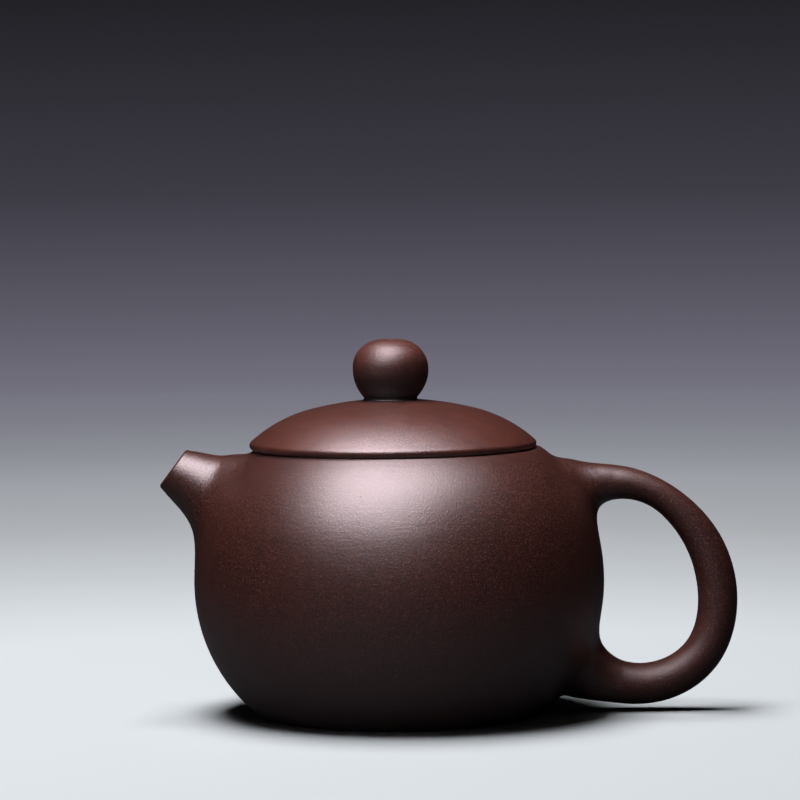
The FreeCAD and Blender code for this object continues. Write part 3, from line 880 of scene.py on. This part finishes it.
def eased_ring(outer, inner, foot, top, outer_edge, inner_edge):
    """A square ring section with rounded lower edges."""
    return joined(
        line_profile((inner, top), (outer, top), 1.0),
        line_profile((outer, top), (outer, foot + outer_edge), 1.0),
        arc_profile((outer - outer_edge, foot + outer_edge), outer_edge, 0, -90, 0.15),
        line_profile((outer - outer_edge, foot), (inner + inner_edge, foot), 1.0),
        arc_profile((inner + inner_edge, foot + inner_edge), inner_edge, 270, 180, 0.15),
        line_profile((inner, foot + inner_edge), (inner, top), 1.0),
    )


def base_section():
    """The base disc, its edge on the inner face of the wall, a little above the table."""
    reach = LOWER_ROUND - WALL
    low_lift = math.degrees(math.asin((BASE_RISE - BELLY_HEIGHT) / reach))
    top_lift = math.degrees(math.asin((BASE_TOP - BELLY_HEIGHT) / reach))
    edge = arc_profile(LOWER_CENTRE, reach, low_lift, top_lift, 0.6)
    return joined(
        [(0.0, BASE_RISE)],
        line_profile((AXIS_GAP, BASE_RISE), edge[0], 2.0),
        edge,
        line_profile(edge[-1], (AXIS_GAP, BASE_TOP), 2.0),
        [(0.0, BASE_TOP)],
    )


# Clay ----------------------------------------------------------------------------------------


class Nodes:
    """Short calls for building a node tree."""

    def __init__(self, material):
        material.use_nodes = True
        self.tree = material.node_tree
        self.tree.nodes.clear()

    def add(self, kind, inputs=None, **settings):
        node = self.tree.nodes.new(kind)
        for key, value in settings.items():
            setattr(node, key, value)
        for key, value in (inputs or {}).items():
            self.feed(node.inputs[key], value)
        return node

    def feed(self, socket, value):
        """Link an output to an input, or set its plain value."""
        if isinstance(value, bpy.types.NodeSocket):
            self.tree.links.new(value, socket)
        else:
            socket.default_value = value

    def noise(self, vector, scale, detail=2.0, roughness=0.5):
        inputs = {"Vector": vector, "Scale": scale, "Detail": detail, "Roughness": roughness}
        return self.add("ShaderNodeTexNoise", inputs).outputs["Fac"]

    def remap(self, value, low_in, high_in, low_out, high_out):
        inputs = {0: value, 1: low_in, 2: high_in, 3: low_out, 4: high_out}
        return self.add("ShaderNodeMapRange", inputs).outputs[0]

    def mix(self, factor, first, second):
        node = self.add("ShaderNodeMix", data_type="RGBA")
        for key, value in ((0, factor), (6, first), (7, second)):
            self.feed(node.inputs[key], value)
        return node.outputs[2]

    def pits(self, vector, scale, share):
        """Small round spots, 1 inside, in that share of the cells of a scattered pattern."""
        cells = self.add("ShaderNodeTexVoronoi", {"Vector": vector, "Scale": scale})
        spot = self.remap(cells.outputs["Distance"], 0.06, 0.12, 1.0, 0.0)
        pick = self.add("ShaderNodeSeparateColor", {0: cells.outputs["Color"]}).outputs[0]
        return self.maths("MULTIPLY", spot, self.maths("LESS_THAN", pick, share))

    def maths(self, operation, first, second=0.0):
        return self.add("ShaderNodeMath", {0: first, 1: second}, operation=operation).outputs[0]


CLAY_DEEP = (0.019, 0.0046, 0.0028, 1)
CLAY_WARM = (0.029, 0.0068, 0.0041, 1)
# The lid's and knob's clay is a lighter copy of the pot's: painted light on faces turned up to the
# lamps.
LID_PAINTED_LIGHT_DEEP = (0.042, 0.0104, 0.0066, 1)
LID_PAINTED_LIGHT_WARM = (0.053, 0.0130, 0.0084, 1)
CLAY_DARK = (0.013, 0.0038, 0.0028, 1)
CLAY_FLECK = (0.100, 0.036, 0.024, 1)
# Near-black colour of the painted shade under the knob's ball.
CLAY_PAINTED_SHADE = (0.0012, 0.0006, 0.0005, 1)
CLAY_PIT = (0.008, 0.004, 0.003, 1)

# Noise over the object's own metres: (scale, detail, roughness).
NOISES = {
    "cloud": (38.0, 4.0, 0.55), "swell": (70.0, 1.0, 0.4), "mottle": (420.0, 3.0, 0.6),
    "pebble": (2300.0, 3.0, 0.6), "grain": (3600.0, 2.0, 0.6),
}
STREAKS = (1300.0, 3.0, 0.65)
STREAK_STRETCH = (0.12, 0.12, 1.0)
PITS = (620.0, 0.14)

# Height of each texture in the relief, in metres; a material's bite scales all but the swell.
SWELL = 0.00012
RELIEF = {
    "streak": 0.000026, "pebble": 0.000040, "grain": 0.000046, "mottle": 0.000014, "pit": -0.00003,
}

# The handle is handled: over this stretch of X, in metres, the polish gives way to a duller skin.
HANDLE_STARTS = (0.042, 0.052)
HANDLE_MATT = 0.14
HANDLE_DULL = 0.85
# Heights in metres over which the painted shade under the knob's ball fades to clean clay.
KNOB_PAINTED_SHADE_HEIGHTS = (0.0720, 0.0800)
COAT_ROUGHNESS = 0.37


def clay_textures(nodes, place):
    """Noise at the clay's several scales, level streaks from its burnishing, and pits."""
    level = nodes.add("ShaderNodeMapping", {"Vector": place, "Scale": STREAK_STRETCH}).outputs[0]
    textures = {name: nodes.noise(place, *grades) for name, grades in NOISES.items()}
    textures["streak"] = nodes.noise(level, *STREAKS)
    textures["pit"] = nodes.pits(place, *PITS)
    return textures


def clay_tone(nodes, textures, deep, warm):
    tone = nodes.mix(nodes.remap(textures["cloud"], 0.35, 0.65, 0.0, 1.0), deep, warm)
    tone = nodes.mix(nodes.remap(textures["mottle"], 0.35, 0.65, 0.0, 0.60), tone, CLAY_DARK)
    tone = nodes.mix(nodes.remap(textures["grain"], 0.54, 0.68, 0.0, 1.0), tone, CLAY_FLECK)
    return nodes.mix(nodes.maths("MULTIPLY", textures["pit"], 0.8), tone, CLAY_PIT)


def clay_roughness(nodes, textures, on_handle, matt):
    rough = nodes.remap(textures["mottle"], 0.3, 0.7, 0.360, 0.385)
    for part in (
        nodes.remap(textures["streak"], 0.3, 0.7, -0.015, 0.015),
        nodes.remap(textures["pebble"], 0.3, 0.7, -0.03, 0.03),
        nodes.maths("MULTIPLY", textures["pit"], 0.25),
        nodes.maths("MULTIPLY", on_handle, HANDLE_MATT),
        matt,
    ):
        rough = nodes.maths("ADD", rough, part)
    return rough


def clay_bump(nodes, textures, bite):
    relief = nodes.maths("MULTIPLY", textures["swell"], SWELL)
    for texture, depth in RELIEF.items():
        relief = nodes.maths("ADD", relief, nodes.maths("MULTIPLY", textures[texture], bite * depth))
    return nodes.add("ShaderNodeBump", {"Height": relief, "Strength": 1.0, "Distance": 1.0}).outputs[0]


def clay_material(name, deep, warm, matt=0.0, gloss=1.0, painted_shade_heights=None, bite=1.0):
    """Purple-brown stoneware, unglazed and burnished: fine grain, pits, and faint level streaks.

    Matt adds to the roughness, gloss weights the polish, and the heights given last, in metres,
    mark where painted shade, dark and dull, gives way to clean clay.
    """
    material = bpy.data.materials.new(name)
    nodes = Nodes(material)
    place = nodes.add("ShaderNodeTexCoord").outputs["Object"]
    axes = nodes.add("ShaderNodeSeparateXYZ", {0: place})
    on_handle = nodes.remap(axes.outputs[0], *HANDLE_STARTS, 0.0, 1.0)
    textures = clay_textures(nodes, place)
    tone = clay_tone(nodes, textures, deep, warm)
    polish = nodes.maths("SUBTRACT", gloss, nodes.maths("MULTIPLY", on_handle, HANDLE_DULL))
    # Painted shade under the knob: darker and less polished below the first height, clean from the
    # second.
    if painted_shade_heights:
        painted_knob_shade = nodes.remap(axes.outputs[2], *painted_shade_heights, 1.0, 0.0)
        tone = nodes.mix(nodes.maths("MULTIPLY", painted_knob_shade, 0.97), tone, CLAY_PAINTED_SHADE)
        polish = nodes.maths("SUBTRACT", polish, painted_knob_shade)
    bump = clay_bump(nodes, textures, bite)
    shader = nodes.add("ShaderNodeBsdfPrincipled", {
        "Base Color": tone, "Roughness": clay_roughness(nodes, textures, on_handle, matt),
        "Normal": bump, "IOR": 1.5, "Specular IOR Level": 0.5, "Coat Weight": polish,
        "Coat Roughness": COAT_ROUGHNESS, "Coat IOR": 1.6, "Coat Normal": bump,
    })
    nodes.add("ShaderNodeOutputMaterial", {"Surface": shader.outputs[0]})
    return material


# Pieces --------------------------------------------------------------------------------------

clay = clay_material("clay", CLAY_DEEP, CLAY_WARM)
# The lid and knob take the lighter clay tones: painted light on their upward faces.
lid_clay_painted_light = clay_material("clay_lid_painted_light", LID_PAINTED_LIGHT_DEEP, LID_PAINTED_LIGHT_WARM, matt=-0.05, bite=1.3)
knob_clay_painted_light_and_shade = clay_material(
    "clay_knob_painted_light_and_shade", LID_PAINTED_LIGHT_DEEP, LID_PAINTED_LIGHT_WARM, matt=0.11, gloss=0.65, painted_shade_heights=KNOB_PAINTED_SHADE_HEIGHTS, bite=1.3,
)
belly_wall(clay)
spout(clay)
handle(clay)
turned("base", "pot", ["base_disc"], base_section(), clay)
turned(
    "seat_ring", "pot", ["mouth_ring"],
    eased_ring(SEAT_OUTER, SEAT_INNER, SEAT_FOOT, MOUTH_HEIGHT, 0.3, 0.8), clay,
)
turned(
    "flange", "lid_ring", ["lid_flange"],
    eased_ring(FLANGE_OUTER, FLANGE_INNER, FLANGE_FOOT, MOUTH_HEIGHT, 0.8, 0.4), clay,
)
turned("lid_dome", "lid", ["lid_plate"], lid_section(), lid_clay_painted_light, segments=240, offset=LID_SHIFT)
turned(
    "knob_ball", "lid", ["knob"], knob_section(), knob_clay_painted_light_and_shade,
    segments=120, offset=KNOB_SHIFT, wobble=KNOB_WOBBLE,
)
frame["nodes"]["ball_strainer"].data.materials.clear()
frame["nodes"]["ball_strainer"].data.materials.append(clay)


# Stage, light and camera: in metres ----------------------------------------------------------

SWEEP_FLAT = 1.25
SWEEP_ROUND = 0.65
SWEEP_TOP = 2.4
SWEEP_SIDES = 96
SHEET_TONE = (0.65, 0.72, 0.78)
# From this distance out, the sheet's colour darkens towards black up its wall: painted shade.
PAINTED_SHADE_START = 0.9
PAINTED_SHADE_SHARE = 0.8

# Painted light on the seen sheet, glowing from the sheet itself: (distance from the middle, colour).
SHEET_PAINTED_LIGHT = [
    (0.00, (0.00, 0.00, 0.00)), (0.08, (0.00, 0.00, 0.00)), (0.16, (0.04, 0.04, 0.04)),
    (0.30, (0.00, 0.00, 0.00)), (0.45, (0.02, 0.02, 0.02)), (0.65, (0.11, 0.11, 0.13)),
    (1.20, (0.15, 0.15, 0.19)), (1.35, (0.13, 0.12, 0.16)), (1.60, (0.034, 0.032, 0.046)),
    (1.75, (0.012, 0.011, 0.015)),
]
SHEET_REACH = SHEET_PAINTED_LIGHT[-1][0]


def painted_light_ramp(nodes, out):
    ramp = nodes.add("ShaderNodeValToRGB", {0: nodes.remap(out, 0, SHEET_REACH, 0, 1)})
    elements = ramp.color_ramp.elements
    while len(elements) < len(SHEET_PAINTED_LIGHT):
        elements.new(0.5)
    for element, (distance, colour) in zip(elements, SHEET_PAINTED_LIGHT):
        element.position = distance / SHEET_REACH
        element.color = (*colour, 1)
    return ramp.outputs[0]


def sheet_look(nodes, share, glow):
    """Pale studio paper, with painted light away from the middle, glowing from the sheet itself as if
    under backdrop lights, and painted shade far out.
    """
    place = nodes.add("ShaderNodeTexCoord").outputs["Object"]
    out = nodes.add("ShaderNodeVectorMath", {0: place}, operation="LENGTH").outputs["Value"]
    fibre = nodes.noise(place, 14.0, 3.0)
    pale, paler = ((*(shade * share * c for c in SHEET_TONE), 1) for shade in (1.0, 1.03))
    # Painted shade: the sheet grows darker towards black far out and up the wall.
    painted_wall_shade = nodes.remap(out, PAINTED_SHADE_START, SHEET_REACH, 0.0, PAINTED_SHADE_SHARE)
    shader = nodes.add("ShaderNodeBsdfPrincipled", {
        "Base Color": nodes.mix(painted_wall_shade, nodes.mix(fibre, pale, paler), (0, 0, 0, 1)), "Roughness": 0.7,
        "Emission Color": painted_light_ramp(nodes, out), "Emission Strength": glow,
    })
    nodes.add("ShaderNodeOutputMaterial", {"Surface": shader.outputs[0]})


def sweep_section():
    """(out, up) from near the middle, over the flat and round the curve, to the top of the wall."""
    section = [(0.03 * i, 0.0) for i in range(1, 6)]
    section += [(a, 0.0) for a in np.linspace(0.2, SWEEP_FLAT, 12)]
    section += [
        (SWEEP_FLAT + SWEEP_ROUND * math.sin(a), SWEEP_ROUND * (1 - math.cos(a)))
        for a in np.radians(np.linspace(0, 90, 25)[1:])
    ]
    return section + [(SWEEP_FLAT + SWEEP_ROUND, SWEEP_TOP)]


def sweep(name, level, share, glow):
    """A round floor that curves up into a wall, the same from every side."""
    turns = np.linspace(0, 2 * math.pi, SWEEP_SIDES, endpoint=False)
    section = sweep_section()
    points, faces = [(0.0, 0.0, level)], []
    for across, up in section:
        points += [(across * math.cos(t), across * math.sin(t), up + level) for t in turns]
    for i in range(SWEEP_SIDES):
        faces.append((0, 1 + i, 1 + (i + 1) % SWEEP_SIDES))
    for ring in range(len(section) - 1):
        first = 1 + ring * SWEEP_SIDES
        for i in range(SWEEP_SIDES):
            j = (i + 1) % SWEEP_SIDES
            faces.append((first + i, first + SWEEP_SIDES + i, first + SWEEP_SIDES + j, first + j))
    mesh = bpy.data.meshes.new(name)
    mesh.from_pydata(points, [], faces)
    mesh.shade_smooth()
    material = bpy.data.materials.new(name)
    sheet_look(Nodes(material), share, glow)
    mesh.materials.append(material)
    sheet = bpy.data.objects.new(name, mesh)
    bpy.context.scene.collection.objects.link(sheet)
    return sheet


# The seen sheet is pale. The pot is lit from below by a darker one just under it, unseen by the camera:
# painted shade in the floor light and reflections that reach the pot.
seen = sweep("floor", 0.0, 1.0, 1.0)
seen.visible_diffuse = False
seen.visible_glossy = False
under = sweep("floor_bounce", -0.0003, 0.036, 0.0)
under.visible_camera = False
under.visible_shadow = False


def soft_light(name, place, aim, size, power, colour):
    data = bpy.data.lights.new(name, "AREA")
    data.shape = "RECTANGLE"
    data.size, data.size_y = size
    data.energy = power
    data.color = colour
    light = bpy.data.objects.new(name, data)
    light.location = place
    light.rotation_euler = (Vector(aim) - Vector(place)).to_track_quat("-Z", "Y").to_euler()
    bpy.context.scene.collection.objects.link(light)
    return light


# A soft box whose brightness falls away to the front and the right: three of them, one in another,
# each with its share of the glow, its left and right, and its front and back. They light the pot
# and not the seen sheet, which has only the ceiling light.
BOX_GLOW = 29.0
BOX_HEIGHT = 0.36
BOX_COLOUR = (1.0, 0.86, 0.92)
BOXES = (
    ("box_core", 0.50, (-0.220, 0.062), (-0.290, 0.028)),
    ("box_middle", 0.36, (-0.235, 0.095), (-0.385, 0.055)),
    ("box_edge", 0.14, (-0.215, 0.155), (-0.480, 0.120)),
)
off_floor = bpy.data.collections.new("not_on_floor")
off_floor.objects.link(seen)
off_floor.collection_objects[0].light_linking.link_state = "EXCLUDE"
for name, share, across, along in BOXES:
    size = (across[1] - across[0], along[1] - along[0])
    place = (sum(across) / 2, sum(along) / 2, BOX_HEIGHT)
    aim = (place[0] + 0.03, place[1] + 0.06, 0.05)
    box = soft_light(name, place, aim, size, BOX_GLOW * share * size[0] * size[1], BOX_COLOUR)
    box.light_linking.receiver_collection = off_floor

# The ceiling light warms what faces up and draws the contact shadow. It leaves no highlight.
ceiling = soft_light("ceiling", (-0.09, 0.02, 0.65), (0, 0, 0), (0.48, 0.25), 5.9, (1.0, 0.95, 0.92))
ceiling.visible_glossy = False

world = bpy.data.worlds.new("studio")
world.use_nodes = True
world.node_tree.nodes["Background"].inputs[0].default_value = (0.55, 0.58, 0.62, 1)
world.node_tree.nodes["Background"].inputs[1].default_value = 0.012
bpy.context.scene.world = world
bpy.context.scene.view_settings.view_transform = "Standard"

# The camera stands in front of the pot, a little above its knob.
CAMERA_PLACE = Vector((0.00055, -0.900, 0.12316))
CAMERA_AIM = Vector((0.00055, 0.0, 0.06885))
CAMERA_ROLL = math.radians(0.547)
CAMERA_LENS = 184.9
CAMERA_SENSOR = 36.0

camera_data = bpy.data.cameras.new("camera")
camera_data.sensor_width = CAMERA_SENSOR
camera_data.lens = CAMERA_LENS
camera_data.clip_start = 0.01
camera = bpy.data.objects.new("camera", camera_data)
look = (CAMERA_AIM - CAMERA_PLACE).to_track_quat("-Z", "Y").to_matrix().to_4x4()
camera.matrix_world = Matrix.Translation(CAMERA_PLACE) @ look @ Matrix.Rotation(-CAMERA_ROLL, 4, "Z")
bpy.context.scene.collection.objects.link(camera)
bpy.context.scene.camera = camera
